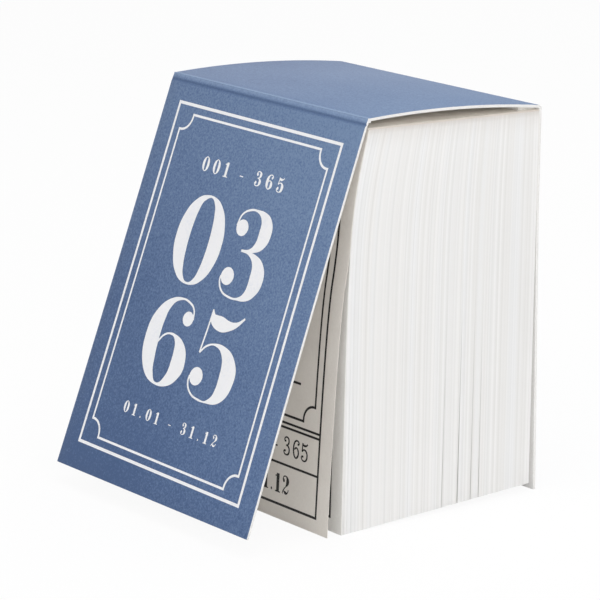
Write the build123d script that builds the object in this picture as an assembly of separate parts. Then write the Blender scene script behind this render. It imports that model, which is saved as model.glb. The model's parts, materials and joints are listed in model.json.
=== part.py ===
from build123d import *

import os
from math import acos, cos, degrees, radians, sin, sqrt, tan, tanh

# A tear-off day calendar: a gummed block of day leaves in a creased card cover, standing on a desk.
# Sizes are in millimetres and angles in degrees. +Z is up, the front faces -Y, the floor is Z = 0.
# Profiles are drawn in the YZ plane with Y = 0 on the outside of the back cover, and run across X.

# Leaves
WIDTH = 53.2  # leaves and cover are trimmed flush at both sides
LEAF_THICKNESS = 0.1
LEAF_LENGTH = 67.7  # at the front of the block
HEAD_AIR = 0.001  # between neighbouring leaves where the gum holds them
LOOSE_AIR = 0.02  # behind each of the two front leaves, which come away by themselves
HEAD_FALL = 0.85  # the trimmed head is this much lower at the back
FOOT_RISE = 1.4  # the trimmed foot is this much higher at the back
BULGE = 4.05  # how far the front leaf spreads forward below the gummed head
BULGE_DROP = 14.2  # drop below the head over which the leaves spread
PARTING_DROP = 24.0  # drop below the head at which the block's partings start
# Day of the year, and the gap at the foot behind its leaf
PARTINGS = {4: 0.05, 9: 0.06, 16: 0.04, 192: 0.1, 222: 0.2, 247: 0.125, 262: 0.125}
STAND_OFF = 2.9  # how far the title leaf's foot stands in front of the block
STAND_OFF_DROP = 21.5  # drop below the head at which the title leaf leaves the block
STAND_OFF_CURVE = 0.55  # power of the title leaf's outward sweep
TITLE_FOOT_GAP = 0.1  # the title leaf's foot hangs this far above the floor

# Cover card
CARD = 0.5
FOLD_REACH = 0.1  # front fold in front of the title leaf's head
FOLD_RISE = 1.37  # underside of the spine above the head, at the front fold
ARCH = 0.88  # rise of the spine's arch above its chord
BEVEL = 1.15  # strip between the two score lines of the front fold
BEVEL_OPEN = 29.0  # lean of that strip from the vertical
COVER_OPEN = 20.3  # lean of the front panel from the vertical
COVER_OVERHANG = 1.15  # front panel past the foot when it hangs straight down
CLOSING = 7.0  # how much further the cover closes before it meets the leaves
CREASE_GAP = 0.05  # each side of the front fold line
FLARE = 1.05  # how far the back cover's foot stands behind its rear fold
FLARE_HEIGHT = 50.0  # height at which the back cover starts to flare

# Gum and glue
HEAD_GUM = 0.25
SPINE_GLUE = 0.2  # thinnest part of the glue between spine and gum
SPINE_GLUE_DEPTH = 4.0
BACK_GLUE = 0.1
BACK_GLUE_HEIGHT = 17.0

MONTH_DAYS = {
    "january": 31,
    "february": 28,
    "march": 31,
    "april": 30,
    "may": 31,
    "june": 30,
    "july": 31,
    "august": 31,
    "september": 30,
    "october": 31,
    "november": 30,
    "december": 31,
}
YEAR_DAYS = sum(MONTH_DAYS.values())
TITLE = 0  # leaf number of the title leaf; the day leaves follow from 1 at the front
FIRST_DAY = TITLE + 1
LEAF_STATIONS = 10  # straight stretches that make up a leaf's bend
STATION_POWER = 1.8  # crowds the stations towards the head, where the leaves bend most

PITCH = LEAF_THICKNESS + HEAD_AIR
BLOCK_BACK = -CARD - BACK_GLUE


def head_front(leaf):
    """Y of a leaf's front face at its gummed head."""
    loose = LOOSE_AIR * max(0, FIRST_DAY + 1 - leaf)
    return BLOCK_BACK - LEAF_THICKNESS - PITCH * (YEAR_DAYS - leaf) - loose


HEAD_DEPTH = BLOCK_BACK - head_front(TITLE)
SPREAD = BULGE + sum(PARTINGS.values())
FOOT_DEPTH = HEAD_DEPTH + SPREAD


def head_level(y):
    """Height of the trimmed head, which falls towards the back."""
    share = (y - head_front(TITLE)) / HEAD_DEPTH
    return LEAF_LENGTH - HEAD_FALL * share


def foot_level(y):
    """Height of the trimmed foot, which rises towards the back from the front day leaf."""
    share = (y - BLOCK_BACK + FOOT_DEPTH) / FOOT_DEPTH
    return FOOT_RISE * max(0.0, share)


def spread(leaf, drop):
    """How far a leaf lies in front of its head, at a drop below the head."""
    fan = BULGE * (YEAR_DAYS - leaf) / YEAR_DAYS * tanh(drop / BULGE_DROP)
    parted = sum(gap for day, gap in PARTINGS.items() if leaf <= day)
    below = max(0.0, drop - PARTING_DROP) / (LEAF_LENGTH - PARTING_DROP)
    forward = fan + parted * below
    if leaf == TITLE:
        swept = max(0.0, drop - STAND_OFF_DROP) / (LEAF_LENGTH - STAND_OFF_DROP)
        forward += STAND_OFF * swept**STAND_OFF_CURVE
    return forward


def across(points):
    """A solid of full width from a closed outline of (y, z) points."""
    outline = Wire.make_polygon([(-WIDTH / 2, y, z) for y, z in points])
    return Solid.extrude(Face(outline), (WIDTH, 0, 0))


def leaf_solid(leaf):
    """One sheet of paper, bent forward below its gummed head."""
    head_y = head_front(leaf)
    head_z = head_level(head_y)
    foot_y = head_y - spread(leaf, head_z)
    foot_z = TITLE_FOOT_GAP if leaf == TITLE else foot_level(foot_y)
    front = []
    for station in range(LEAF_STATIONS):
        drop = (head_z - foot_z) * (station / LEAF_STATIONS) ** STATION_POWER
        front.append((head_y - spread(leaf, drop), head_z - drop))
    front.append((head_y - spread(leaf, head_z - foot_z), foot_z))
    back = [(y + LEAF_THICKNESS, z) for y, z in reversed(front)]
    back[-1] = (head_y + LEAF_THICKNESS, head_level(head_y + LEAF_THICKNESS))
    if leaf != TITLE:
        back[0] = (back[0][0], foot_level(back[0][0]))
    return across(front + back)


def along(lean):
    """Unit vector down a panel that leans forward from the vertical."""
    return Vector(-sin(radians(lean)), -cos(radians(lean)))


def outward(lean):
    """Unit vector out of that panel's front face."""
    return Vector(-cos(radians(lean)), sin(radians(lean)))


# The fold lines on the outside of the card: front, and rear.
FRONT_FOLD = Vector(head_front(TITLE) - FOLD_REACH, LEAF_LENGTH + FOLD_RISE + CARD)
REAR_FOLD = Vector(0, head_level(BLOCK_BACK) + HEAD_GUM + SPINE_GLUE + CARD)

# The spine is an arc about this centre.
CHORD = REAR_FOLD - FRONT_FOLD
ARC_RADIUS = CHORD.length**2 / (8 * ARCH) + ARCH / 2
ARC_DOWN = Vector(CHORD.Y, -CHORD.X).normalized()
ARC_CENTRE = (FRONT_FOLD + REAR_FOLD) * 0.5 + ARC_DOWN * (ARC_RADIUS - ARCH)
INNER_RADIUS = ARC_RADIUS - CARD

# The spine leaves the front fold along the arc's tangent.
# The two card edges at that fold are mitred, so that they meet when the cover is closed.
FOLD_RADIAL = (FRONT_FOLD - ARC_CENTRE).normalized()
SPINE_START = Vector(FOLD_RADIAL.Y, -FOLD_RADIAL.X)
CLOSED_ANGLE = degrees(acos(along(BEVEL_OPEN).dot(SPINE_START))) - CLOSING
MITRE = CARD / tan(radians(CLOSED_ANGLE / 2))


def arc_point(radius, travel):
    """A point on an arc about the spine's centre, at a length of travel from the front fold."""
    turn = travel / ARC_RADIUS
    direction = FOLD_RADIAL * cos(turn) + SPINE_START * sin(turn)
    return ARC_CENTRE + direction * radius


def arc_height(radius, y):
    """Height of such an arc at a given Y."""
    return ARC_CENTRE.Y + sqrt(radius**2 - (y - ARC_CENTRE.X) ** 2)


REAR_FOLD_INSIDE = Vector(-CARD, arc_height(INNER_RADIUS, -CARD))


def spine_solid():
    """The arched top panel, mitred to the back cover behind it."""
    front_out = arc_point(ARC_RADIUS, CREASE_GAP)
    front_in = arc_point(INNER_RADIUS, CREASE_GAP + MITRE)
    crown = arc_point(ARC_RADIUS, CHORD.length / 2)
    underside = arc_point(INNER_RADIUS, CHORD.length / 2)
    edges = [
        ThreePointArc(front_out, crown, REAR_FOLD),
        Line(REAR_FOLD, REAR_FOLD_INSIDE),
        ThreePointArc(REAR_FOLD_INSIDE, underside, front_in),
        Line(front_in, front_out),
    ]
    profile = Plane.YZ * make_face(edges)
    return extrude(profile, WIDTH / 2, both=True)


def back_cover_solid():
    """The back panel, held near the head and flaring below."""
    outside = [(0, FLARE_HEIGHT), (FLARE, 0)]
    inside = [(y - CARD, z) for y, z in reversed(outside)]
    corner = [(REAR_FOLD_INSIDE.X, REAR_FOLD_INSIDE.Y), (REAR_FOLD.X, REAR_FOLD.Y)]
    return across(outside + inside + corner)


def front_cover_solid():
    """The front panel below its bevelled strip, open as it stands on the desk."""
    score = FRONT_FOLD + along(BEVEL_OPEN) * BEVEL
    length = FRONT_FOLD.Y + COVER_OVERHANG - BEVEL
    foot = score + along(COVER_OPEN) * length
    bisector = (outward(BEVEL_OPEN) + outward(COVER_OPEN)).normalized()
    inset = CARD / bisector.dot(outward(COVER_OPEN))
    outline = [
        FRONT_FOLD + along(BEVEL_OPEN) * CREASE_GAP,
        score,
        foot,
        foot - outward(COVER_OPEN) * CARD,
        score - bisector * inset,
        FRONT_FOLD + along(BEVEL_OPEN) * (CREASE_GAP + MITRE) - outward(BEVEL_OPEN) * CARD,
    ]
    return across([(point.X, point.Y) for point in outline])


def head_gum_solid():
    """The film of padding gum over the heads of the day leaves."""
    ends = (head_front(FIRST_DAY), BLOCK_BACK)
    under = [(y, head_level(y)) for y in ends]
    over = [(y, z + HEAD_GUM) for y, z in reversed(under)]
    return across(under + over)


def spine_glue_solid():
    """The glue that fills the wedge between the gum and the rear of the spine."""
    ends = (BLOCK_BACK - SPINE_GLUE_DEPTH, BLOCK_BACK)
    under = [(y, head_level(y) + HEAD_GUM) for y in ends]
    over = [(y, arc_height(INNER_RADIUS, y)) for y in reversed(ends)]
    return across(under + over)


def back_glue_solid():
    """The glue between the last leaf and the back cover, below the head."""
    top = head_level(BLOCK_BACK)
    low = top - BACK_GLUE_HEIGHT
    return across([(BLOCK_BACK, low), (-CARD, low), (-CARD, top), (BLOCK_BACK, top)])


nodes = {
    "front_cover": front_cover_solid(),
    "spine_panel": spine_solid(),
    "back_cover": back_cover_solid(),
    "head_gum": head_gum_solid(),
    "spine_glue": spine_glue_solid(),
    "back_glue": back_glue_solid(),
    "title_leaf": leaf_solid(TITLE),
    "first_day_leaf": leaf_solid(FIRST_DAY),
}
day = FIRST_DAY
for month, days in MONTH_DAYS.items():
    sheets = [leaf_solid(leaf) for leaf in range(day, day + days) if leaf != FIRST_DAY]
    nodes[f"{month}_leaves"] = Compound(children=sheets)
    day += days

# The origin is on the floor, under the middle of the open calendar.
box = Compound(children=[shape.moved(Location()) for shape in nodes.values()]).bounding_box()
middle = (box.min.Y + box.max.Y) / 2
place = Location((0, -middle, -box.min.Z))
os.makedirs("parts", exist_ok=True)
for name, shape in nodes.items():
    export_step(shape.moved(place), f"parts/{name}.step")
print("front fold at y, z:", FRONT_FOLD.X - middle, FRONT_FOLD.Y - box.min.Z)
print("open box:", box.size, "lowest", box.min.Z)
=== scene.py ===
"""Dresses a tear-off day calendar: a printed card cover round a gummed block of day leaves."""

import json
import logging
import math
from dataclasses import dataclass, field
from enum import Enum
from typing import Any, Callable, Optional, Union

import bpy
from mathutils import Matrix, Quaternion, Vector

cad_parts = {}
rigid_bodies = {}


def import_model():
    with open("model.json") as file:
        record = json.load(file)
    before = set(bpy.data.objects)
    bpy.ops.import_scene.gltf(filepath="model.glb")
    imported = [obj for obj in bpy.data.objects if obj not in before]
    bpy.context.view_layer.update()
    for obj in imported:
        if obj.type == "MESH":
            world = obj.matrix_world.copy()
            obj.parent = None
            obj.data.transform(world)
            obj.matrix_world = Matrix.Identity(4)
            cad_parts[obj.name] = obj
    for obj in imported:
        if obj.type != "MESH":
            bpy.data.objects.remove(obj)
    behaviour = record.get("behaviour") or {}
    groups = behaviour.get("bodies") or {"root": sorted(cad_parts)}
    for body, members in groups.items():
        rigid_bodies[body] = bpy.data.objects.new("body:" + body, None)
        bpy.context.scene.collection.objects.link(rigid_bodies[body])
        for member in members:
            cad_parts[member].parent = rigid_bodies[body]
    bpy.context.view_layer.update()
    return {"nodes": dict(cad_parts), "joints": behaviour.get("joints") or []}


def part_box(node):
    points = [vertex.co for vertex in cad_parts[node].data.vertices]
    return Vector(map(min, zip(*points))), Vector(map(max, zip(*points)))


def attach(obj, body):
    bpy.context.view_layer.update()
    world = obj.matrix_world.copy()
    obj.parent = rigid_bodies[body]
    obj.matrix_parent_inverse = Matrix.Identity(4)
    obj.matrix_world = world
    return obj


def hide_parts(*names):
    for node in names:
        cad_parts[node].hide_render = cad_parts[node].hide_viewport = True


LOG = logging.getLogger("day_calendar")
MM = 0.001
SAME_PLACE = 0.0001 * MM
SHEET_CREASE = math.radians(35)
SOLID_CREASE = math.radians(40)
MONTHS = (
    *("january", "february", "march", "april", "may", "june"),
    *("july", "august", "september", "october", "november", "december"),
)
Colour = tuple[float, float, float]
Dot = tuple[float, float, float]
Place = Callable[[float, float, float], Vector]


def linear(red: int, green: int, blue: int) -> Colour:
    """Turns a screen colour into the linear one that shaders take.

    Args:
        red: Red, 0 to 255.
        green: Green, 0 to 255.
        blue: Blue, 0 to 255.

    Returns:
        The linear colour, 0 to 1.
    """
    shares = (channel / 255 for channel in (red, green, blue))
    return tuple(s / 12.92 if s <= 0.04045 else ((s + 0.055) / 1.055) ** 2.4 for s in shares)


class Value:
    """A shader socket that takes part in Python arithmetic."""

    def __init__(self, graph: "Graph", socket: bpy.types.NodeSocket) -> None:
        """Keeps the graph that new nodes go to, and the socket."""
        self.graph = graph
        self.socket = socket

    def math(self, operation: str, *others: Union["Value", float]) -> "Value":
        """Adds a Math node on this value.

        Args:
            operation: The Math node's operation.
            others: The node's further inputs.

        Returns:
            The node's result.
        """
        inputs = {index + 1: other for index, other in enumerate(others)}
        return self.graph.node("ShaderNodeMath", {"operation": operation}, {0: self, **inputs})

    def reflected(self, operation: str, first: float) -> "Value":
        """Adds a Math node with a number as its first input."""
        return self.graph.node("ShaderNodeMath", {"operation": operation}, {0: first, 1: self})

    def __add__(self, other: Union["Value", float]) -> "Value":
        """Sum."""
        return self.math("ADD", other)

    def __radd__(self, other: float) -> "Value":
        """Sum with a number in front."""
        return self.reflected("ADD", other)

    def __sub__(self, other: Union["Value", float]) -> "Value":
        """Difference."""
        return self.math("SUBTRACT", other)

    def __rsub__(self, other: float) -> "Value":
        """Difference from a number."""
        return self.reflected("SUBTRACT", other)

    def __mul__(self, other: Union["Value", float]) -> "Value":
        """Product."""
        return self.math("MULTIPLY", other)

    def __rmul__(self, other: float) -> "Value":
        """Product with a number in front."""
        return self.reflected("MULTIPLY", other)

    def __truediv__(self, other: Union["Value", float]) -> "Value":
        """Quotient."""
        return self.math("DIVIDE", other)

    def __rtruediv__(self, other: float) -> "Value":
        """Quotient of a number."""
        return self.reflected("DIVIDE", other)

    def clipped(self) -> "Value":
        """This value held between 0 and 1."""
        return self.math("MAXIMUM", 0.0).math("MINIMUM", 1.0)


class Graph:
    """The node tree of one material, or of the world."""

    def __init__(self, owner: Union[bpy.types.Material, bpy.types.World]) -> None:
        """Empties the tree.

        Args:
            owner: What the tree belongs to.
        """
        owner.use_nodes = True
        self.owner = owner
        self.tree = owner.node_tree
        self.tree.nodes.clear()

    @classmethod
    def material(cls, name: str) -> "Graph":
        """Starts a new material."""
        return cls(bpy.data.materials.new(name))

    def node(
        self,
        kind: str,
        settings: Optional[dict[str, Any]] = None,
        inputs: Optional[dict[Union[str, int], Any]] = None,
        output: Union[str, int] = 0,
    ) -> Value:
        """Adds a node of any type.

        Args:
            kind: The node's type name.
            settings: Properties, set before the sockets. A ramp's stops are (place, colour) pairs.
            inputs: Numbers, colours or values, by socket name or index.
            output: The socket that is returned.

        Returns:
            The chosen output, as a value.
        """
        node = self.tree.nodes.new(kind)
        for key, setting in (settings or {}).items():
            if key == "stops":
                self._stops(node.color_ramp, setting)
            else:
                setattr(node, key, setting)
        for key, entry in (inputs or {}).items():
            if isinstance(entry, Value):
                self.tree.links.new(entry.socket, node.inputs[key])
            else:
                node.inputs[key].default_value = entry
        return Value(self, node.outputs[output] if node.outputs else None)

    @staticmethod
    def _stops(ramp: bpy.types.ColorRamp, stops: list[tuple[float, Colour]]) -> None:
        """Sets a ramp's stops.

        Args:
            ramp: The ramp.
            stops: Places and colours, in order.
        """
        while len(ramp.elements) < len(stops):
            ramp.elements.new(1.0)
        for element, (place, colour) in zip(ramp.elements, stops):
            element.position = place
            element.color = (*colour, 1.0)

    def place(self) -> tuple[Value, Value, Value, Value]:
        """Gives the object coordinates.

        Returns:
            The vector, then its x, y and z.
        """
        vector = self.node("ShaderNodeTexCoord", output="Object")
        parts = [self.node("ShaderNodeSeparateXYZ", {}, {0: vector}, axis) for axis in "XYZ"]
        return vector, parts[0], parts[1], parts[2]

    def noise(self, vector: Value, scale: float, detail: float = 2.0, roughness: float = 0.5) -> Value:
        """Adds three-dimensional noise.

        Args:
            vector: Where it is read.
            scale: Features per metre.
            detail: Octaves.
            roughness: Strength of the finer octaves.

        Returns:
            The noise, about 0.5 on average.
        """
        inputs = {"Vector": vector, "Scale": scale, "Detail": detail, "Roughness": roughness}
        return self.node("ShaderNodeTexNoise", {}, inputs, "Fac")

    def stripes(self, along: Value, scale: float) -> Value:
        """Adds noise that changes in one direction only."""
        inputs = {"W": along, "Scale": scale, "Detail": 1.0}
        return self.node("ShaderNodeTexNoise", {"noise_dimensions": "1D"}, inputs, "Fac")

    def ramp(self, factor: Value, stops: list[tuple[float, Colour]]) -> Value:
        """Adds a colour ramp."""
        return self.node("ShaderNodeValToRGB", {"stops": stops}, {"Fac": factor}, "Color")

    def mix(self, factor: Value, first: Any, second: Any) -> Value:
        """Mixes two colours.

        Args:
            factor: Share of the second colour.
            first: A colour or a value that carries one.
            second: A colour or a value that carries one.

        Returns:
            The mixed colour.
        """
        entries = [entry if isinstance(entry, Value) else (*entry, 1.0) for entry in (first, second)]
        inputs = {0: factor, 6: entries[0], 7: entries[1]}
        return self.node("ShaderNodeMix", {"data_type": "RGBA"}, inputs, 2)

    def bump(self, height: Value, distance: float, strength: float) -> Value:
        """Adds a bump of a real height in metres."""
        inputs = {"Height": height, "Distance": distance, "Strength": strength}
        return self.node("ShaderNodeBump", {}, inputs, "Normal")

    def surface(self, **sockets: Any) -> bpy.types.Material:
        """Ends the tree in a Principled shader.

        Args:
            sockets: The shader's inputs, with underscores for spaces.

        Returns:
            The finished material.
        """
        inputs = {key.replace("_", " "): entry for key, entry in sockets.items()}
        shader = self.node("ShaderNodeBsdfPrincipled", {}, inputs, "BSDF")
        self.node("ShaderNodeOutputMaterial", {}, {"Surface": shader})
        return self.owner

    def backdrop(self) -> Value:
        """Tells the rays that should meet a white backdrop from those that light the object.

        Returns:
            1 for rays from the camera, from glossy surfaces and through clear ones, 0 for others.
        """
        kinds = ("Is Camera Ray", "Is Glossy Ray", "Is Transmission Ray")
        seen, mirrored, through = (self.node("ShaderNodeLightPath", output=kind) for kind in kinds)
        return seen.math("MAXIMUM", mirrored).math("MAXIMUM", through)


@dataclass(frozen=True)
class PrintedCard:
    """Matt blue print on grained card, with painted light: lighter towards the top and the right, a painted
    highlight with worn ink along the front fold and painted shade in the lower score; worn paler at the cut
    sides.
    """

    name: str = "printed_card"
    pale: Colour = linear(116, 139, 171)
    blue: Colour = linear(94, 117, 154)
    deep: Colour = linear(68, 92, 132)
    worn_and_highlit: Colour = linear(142, 163, 194)
    fold: tuple[float, float] = (0.0, 0.0)
    score: tuple[float, float] = (0.0, 0.0)
    half_width: float = 1.0
    height: float = 1.0
    cloud_scale: float = 60.0
    grain_scale: float = 2700.0
    fine_scale: float = 8370.0
    foot_tone: float = 0.15
    painted_light_upward: float = 0.6
    painted_light_rightward: float = 0.17
    behind_score: float = 0.16
    score_run: float = 0.3 * MM
    fold_highlight_reach: float = 0.9 * MM
    rim_reach: float = 0.35 * MM
    score_shade_reach: float = 0.5 * MM
    relief: float = 0.05 * MM
    roughness: float = 0.56

    def near(self, y: Value, z: Value, line: tuple[float, float], reach: float) -> Value:
        """How near a point is to a line across the card.

        Args:
            y: The point's y.
            z: The point's z.
            line: The line's y and z.
            reach: Distance at which nothing is left.

        Returns:
            1 on the line, 0 at the reach and beyond.
        """
        square = (y - line[0]) * (y - line[0]) + (z - line[1]) * (z - line[1])
        return (1.0 - square.math("SQRT") / reach).clipped()

    def build(self) -> bpy.types.Material:
        """Makes the material.

        Returns:
            The material.
        """
        graph = Graph.material(self.name)
        vector, x, y, z = graph.place()
        cloud = graph.noise(vector, self.cloud_scale, 3.0)
        grain = graph.noise(vector, self.grain_scale, 3.0, 0.55)
        fine = graph.noise(vector, self.fine_scale, 2.0, 0.6)
        # Painted light: the tone rises towards the top and the right of the card and falls towards the foot,
        # held back behind the lower score.
        behind = ((y - self.score[0]) / self.score_run).clipped() * self.behind_score
        rise = (z / self.height).clipped() * self.painted_light_upward + x / self.half_width * self.painted_light_rightward - behind
        tone = self.foot_tone + rise + (cloud - 0.5) * 0.3 + (grain - 0.5) * 1.5 + (fine - 0.5) * 1.1
        colour = graph.ramp(tone.clipped(), [(0.1, self.deep), (0.5, self.blue), (0.95, self.pale)])
        # Paler along the front fold: a painted highlight on the ridge, with worn ink; paler along the cut
        # sides, where the card is worn.
        ridge = self.near(y, z, self.fold, self.fold_highlight_reach) * (0.5 + grain * 0.6)
        rim = ((x.math("ABSOLUTE") - self.half_width) / self.rim_reach + 1.0).clipped() * grain
        colour = graph.mix((ridge + rim * 0.6).clipped(), colour, self.worn_and_highlit)
        # Painted shade in the pressed lower score.
        groove = self.near(y, z, self.score, self.score_shade_reach) * 0.8
        colour = graph.mix(groove, colour, self.deep)
        rough = self.roughness + (grain - 0.5) * 0.2
        normal = graph.bump(grain * 0.6 + fine * 0.4, self.relief, 0.6)
        return graph.surface(Base_Color=colour, Roughness=rough, Normal=normal, Specular_IOR_Level=0.3)


@dataclass(frozen=True)
class FibreSheet:
    """An uncoated white sheet: soft clouds and fine fibres."""

    name: str
    colour: Colour
    fibre: Colour
    cloud_scale: float
    fibre_scale: float
    fibre_noise: tuple[float, float]
    cloud_share: float
    full_colour: float
    relief: float
    roughness: float
    cloud_gloss: float

    def build(self) -> bpy.types.Material:
        """Makes the material.

        Returns:
            The material.
        """
        graph = Graph.material(self.name)
        vector, _, _, _ = graph.place()
        cloud = graph.noise(vector, self.cloud_scale, 3.0)
        fibre = graph.noise(vector, self.fibre_scale, *self.fibre_noise)
        tone = (cloud * self.cloud_share + fibre * (1.0 - self.cloud_share)).clipped()
        colour = graph.ramp(tone, [(0.3, self.fibre), (self.full_colour, self.colour)])
        rough = self.roughness - cloud * self.cloud_gloss
        normal = graph.bump(fibre, self.relief, 0.5)
        return graph.surface(Base_Color=colour, Roughness=rough, Normal=normal, Specular_IOR_Level=0.25)


@dataclass(frozen=True)
class BareCard(FibreSheet):
    """White uncoated board, as it shows on the inside and at the cut edges."""

    name: str = "bare_card"
    colour: Colour = linear(241, 240, 238)
    fibre: Colour = linear(231, 229, 226)
    cloud_scale: float = 160.0
    fibre_scale: float = 3000.0
    fibre_noise: tuple[float, float] = (3.0, 0.65)
    cloud_share: float = 0.35
    full_colour: float = 0.6
    relief: float = 0.02 * MM
    roughness: float = 0.85
    cloud_gloss: float = 0.1


@dataclass(frozen=True)
class LoosePaper(FibreSheet):
    """The face of a single printed leaf."""

    name: str = "loose_paper"
    colour: Colour = linear(247, 246, 243)
    fibre: Colour = linear(238, 236, 232)
    cloud_scale: float = 120.0
    fibre_scale: float = 2400.0
    fibre_noise: tuple[float, float] = (4.0, 0.7)
    cloud_share: float = 0.55
    full_colour: float = 0.62
    relief: float = 0.015 * MM
    roughness: float = 0.84
    cloud_gloss: float = 0.08


@dataclass(frozen=True)
class LeafPaper:
    """White leaf paper: streaked at the stack's trimmed sides, with painted shade under the heads, where the
    spine's card overhangs them.
    """

    name: str = "leaf_paper"
    light: Colour = linear(246, 245, 244)
    dim: Colour = linear(235, 234, 232)
    cool: Colour = linear(240, 243, 247)
    shade: Colour = linear(178, 173, 168)
    painted_head_shade: Colour = linear(203, 195, 187)
    head_edge_shade_reach: float = 0.9 * MM
    head_edge_shade_strength: float = 0.28
    head_shade_reach: float = 4.5 * MM
    head_shade_strength: float = 0.36
    back: float = 0.0
    head: float = 0.0
    head_fall: float = 0.85 * MM
    depth: float = 36.6 * MM
    bulge: float = 0.1095
    bulge_drop: float = 14.2 * MM
    pitch: float = 0.101 * MM
    band_scale: float = 1900.0
    group_scale: float = 380.0
    group_offset: float = 7.0
    run_scale: float = 55.0
    fibre_scale: float = 2600.0
    relief: float = 0.05 * MM
    pale_leaves: float = 0.97
    parting_drop: float = 20.0 * MM
    parting_run: float = 47.7 * MM
    parting_reach: tuple[float, float] = (0.06 * MM, 0.25 * MM)
    partings: tuple[tuple[float, float, float], ...] = (
        (10.4 * MM, 0.0, 0.3),
        (11.95 * MM, 0.125 * MM, 0.3),
        (14.5 * MM, 0.25 * MM, 0.45),
        (17.5 * MM, 0.45 * MM, 0.3),
    )

    def parting(self, front: Value, spread: Value, low: Value, line: tuple[float, float, float]) -> Value:
        """Shade that gathers where the leaves part towards the foot.

        Args:
            front: Distance in front of the last leaf.
            spread: How far the stack is spread at this height.
            low: 0 at the height where the parting starts, 1 at the foot.
            line: The parting's depth in the stack, the gaps behind it and its strength.

        Returns:
            The shade, 0 to 1.
        """
        depth, behind, strength = line
        start, growth = self.parting_reach
        away = (front - spread * depth - low * behind).math("ABSOLUTE")
        near = (1.0 - away / (low * growth + start)).clipped()
        return near * (low * low * 1.3).clipped() * strength

    def build(self) -> bpy.types.Material:
        """Makes the material.

        Returns:
            The material.
        """
        graph = Graph.material(self.name)
        vector, _, y, z = graph.place()
        drop = self.head - z
        spread = 1.0 + self.bulge * (drop / self.bulge_drop).math("TANH")
        low = ((drop - self.parting_drop) / self.parting_run).clipped()
        front = self.back - y
        depth = front / spread
        sheet = (depth / self.pitch).math("FLOOR")
        single = graph.node("ShaderNodeTexWhiteNoise", {"noise_dimensions": "1D"}, {"W": sheet}, "Value")
        bands = graph.stripes(depth, self.band_scale)
        groups = graph.stripes(depth + self.group_offset, self.group_scale)
        run = graph.noise(vector, self.run_scale, 2.0)
        fibre = graph.noise(vector, self.fibre_scale, 3.0, 0.65)
        streak = 0.5 + (bands - 0.5) * 2.6 + (groups - 0.5) * 0.25
        streak = streak + (single - 0.5) * 0.5 + (run - 0.5) * 0.4
        colour = graph.mix((streak + (fibre - 0.5) * 0.2).clipped(), self.dim, self.light)
        colour = graph.mix(((groups - 0.45) * 3.0).clipped() * 0.3, colour, self.cool)
        lines = ((single - self.pale_leaves) * 60.0).clipped() * (run * 0.35)
        for line in self.partings:
            lines = lines + self.parting(front, spread, low, line)
        colour = graph.mix(lines.clipped(), colour, self.shade)
        # Painted shade under the spine: the leaves darken and warm towards their heads, most strongly right
        # at the head.
        under = drop - (1.0 - front / self.depth).clipped() * self.head_fall
        near = (1.0 - under / self.head_shade_reach).clipped()
        head = (1.0 - under / self.head_edge_shade_reach).clipped()
        under_head_shade = near * near * self.head_shade_strength + head * self.head_edge_shade_strength
        colour = graph.mix(under_head_shade.clipped(), colour, self.painted_head_shade)
        rough = 0.82 + (fibre - 0.5) * 0.1
        normal = graph.bump(bands * 0.7 + single * 0.2 + fibre * 0.1, self.relief, 0.4)
        return graph.surface(Base_Color=colour, Roughness=rough, Normal=normal, Specular_IOR_Level=0.25)


@dataclass(frozen=True)
class PrintInk:
    """A printed ink that lets a little of the grain through."""

    name: str
    colour: Colour
    thin: Colour
    mottle_scale: float = 2200.0
    cloud_scale: float = 260.0
    relief: float = 0.01 * MM
    roughness: float = 0.6

    def build(self) -> bpy.types.Material:
        """Makes the material.

        Returns:
            The material.
        """
        graph = Graph.material(self.name)
        vector, _, _, _ = graph.place()
        mottle = graph.noise(vector, self.mottle_scale, 3.0, 0.6)
        cloud = graph.noise(vector, self.cloud_scale, 2.0)
        tone = (mottle * 0.6 + cloud * 0.4).clipped()
        colour = graph.ramp(tone, [(0.28, self.thin), (0.5, self.colour)])
        rough = self.roughness + (mottle - 0.5) * 0.15
        normal = graph.bump(mottle, self.relief, 0.4)
        return graph.surface(Base_Color=colour, Roughness=rough, Normal=normal, Specular_IOR_Level=0.3)


@dataclass(frozen=True)
class SetGlue:
    """Dried gum or glue: lumpy and slightly glossy, with another tone where its sides are cut; on the
    padding gum that tone is darker, painted shade under the spine.
    """

    name: str
    colour: Colour
    shade: Colour
    cut: Colour
    half_width: float
    cut_depth: float = 0.1 * MM
    lump_scale: float = 700.0
    relief: float = 0.06 * MM

    def build(self) -> bpy.types.Material:
        """Makes the material.

        Returns:
            The material.
        """
        graph = Graph.material(self.name)
        vector, across, _, _ = graph.place()
        lumps = graph.noise(vector, self.lump_scale, 3.0, 0.6)
        colour = graph.ramp(lumps, [(0.3, self.shade), (0.65, self.colour)])
        # The cut sides take the cut tone; on the padding gum this is painted shade.
        edge = (1.0 - (self.half_width - across.math("ABSOLUTE")) / self.cut_depth).clipped()
        colour = graph.mix(edge, colour, self.cut)
        rough = 0.5 + (lumps - 0.5) * 0.3
        normal = graph.bump(lumps, self.relief, 0.6)
        return graph.surface(Base_Color=colour, Roughness=rough, Normal=normal, Specular_IOR_Level=0.4)


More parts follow.
